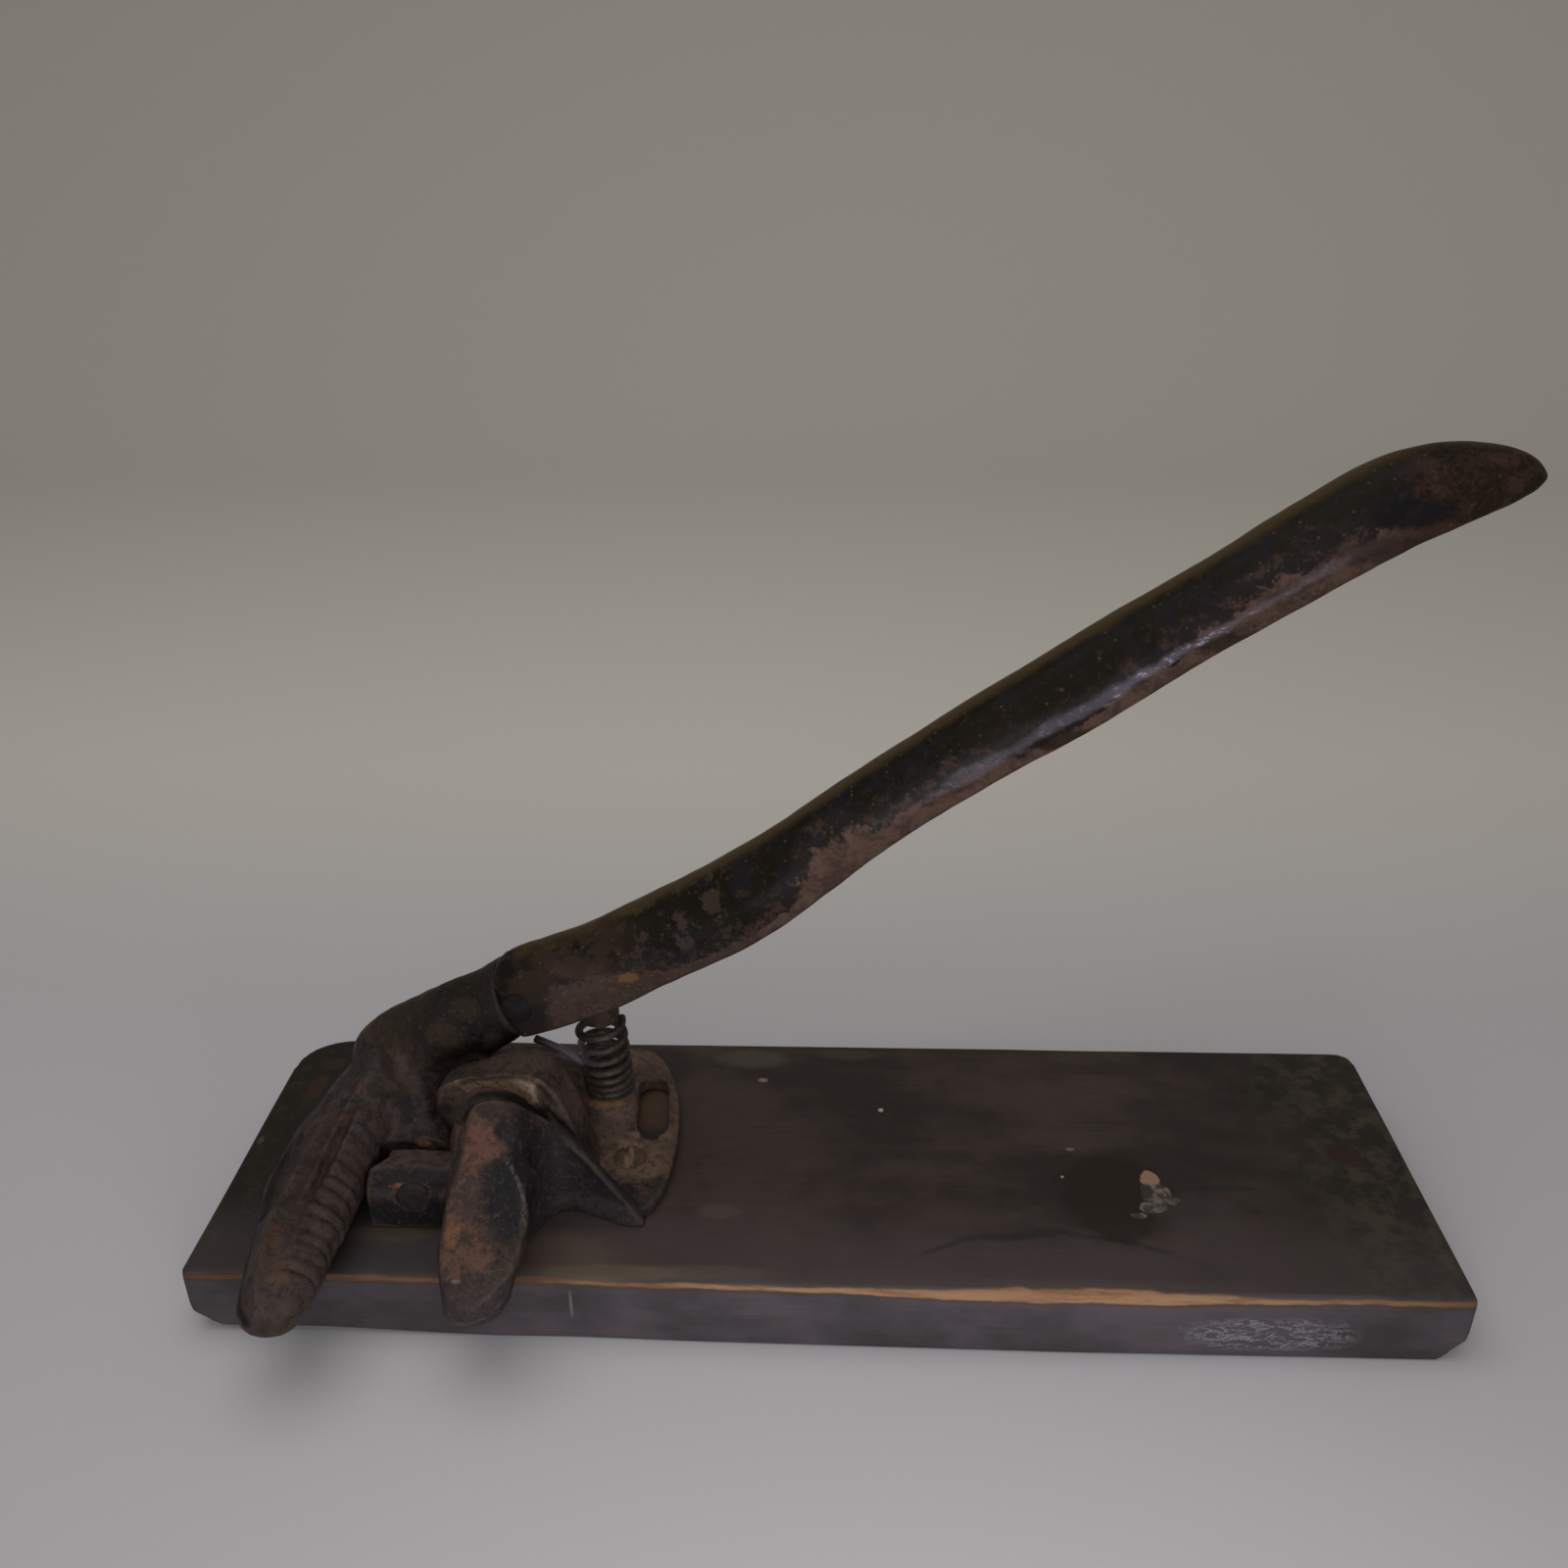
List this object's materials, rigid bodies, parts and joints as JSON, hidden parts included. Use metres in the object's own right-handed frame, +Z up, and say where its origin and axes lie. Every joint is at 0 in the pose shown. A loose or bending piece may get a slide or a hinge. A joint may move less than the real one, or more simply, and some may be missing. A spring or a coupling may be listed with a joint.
{
  "type": "nutcracker",
  "caption": "Board-mounted lever nutcracker: a long sprung handle swings a ribbed cast jaw up against a fixed jaw on a wooden board.",
  "frame": {"origin": "centre of the board's underside", "axes": "+X along the board towards the handle's tip, +Y from the jaws to the back, +Z up"},
  "size_m": [0.35, 0.1323, 0.2351],
  "materials": {
    "board": "dark stained, worn",
    "base_casting": "black paint worn to rust brown",
    "lever_casting": "worn, rust brown",
    "handle": "black paint worn to rust",
    "handle_rivet": "dark, dull",
    "pivot_pin": "rusted",
    "return_spring": "dark, oiled",
    "base_screws": "rusted"
  },
  "bodies": {
    "base": {"board": "board", "base_casting": "base_casting", "pivot_pin": "pivot_pin", "base_screws": "base_screws", "return_spring": "return_spring"},
    "lever": {"lever_casting": "lever_casting", "handle": "handle", "handle_rivet": "handle_rivet"}
  },
  "joints": [
    {"name": "lever_hinge", "type": "hinge", "parent": "base", "child": "lever", "pos_m": [-0.115, 0.0043, 0.0325], "axis": [0, 1, 0], "range_deg": [0, 13], "stiffness_Nm_per_rad": 48, "springref_deg": -1.15, "deforming": ["return_spring"]}
  ]
}
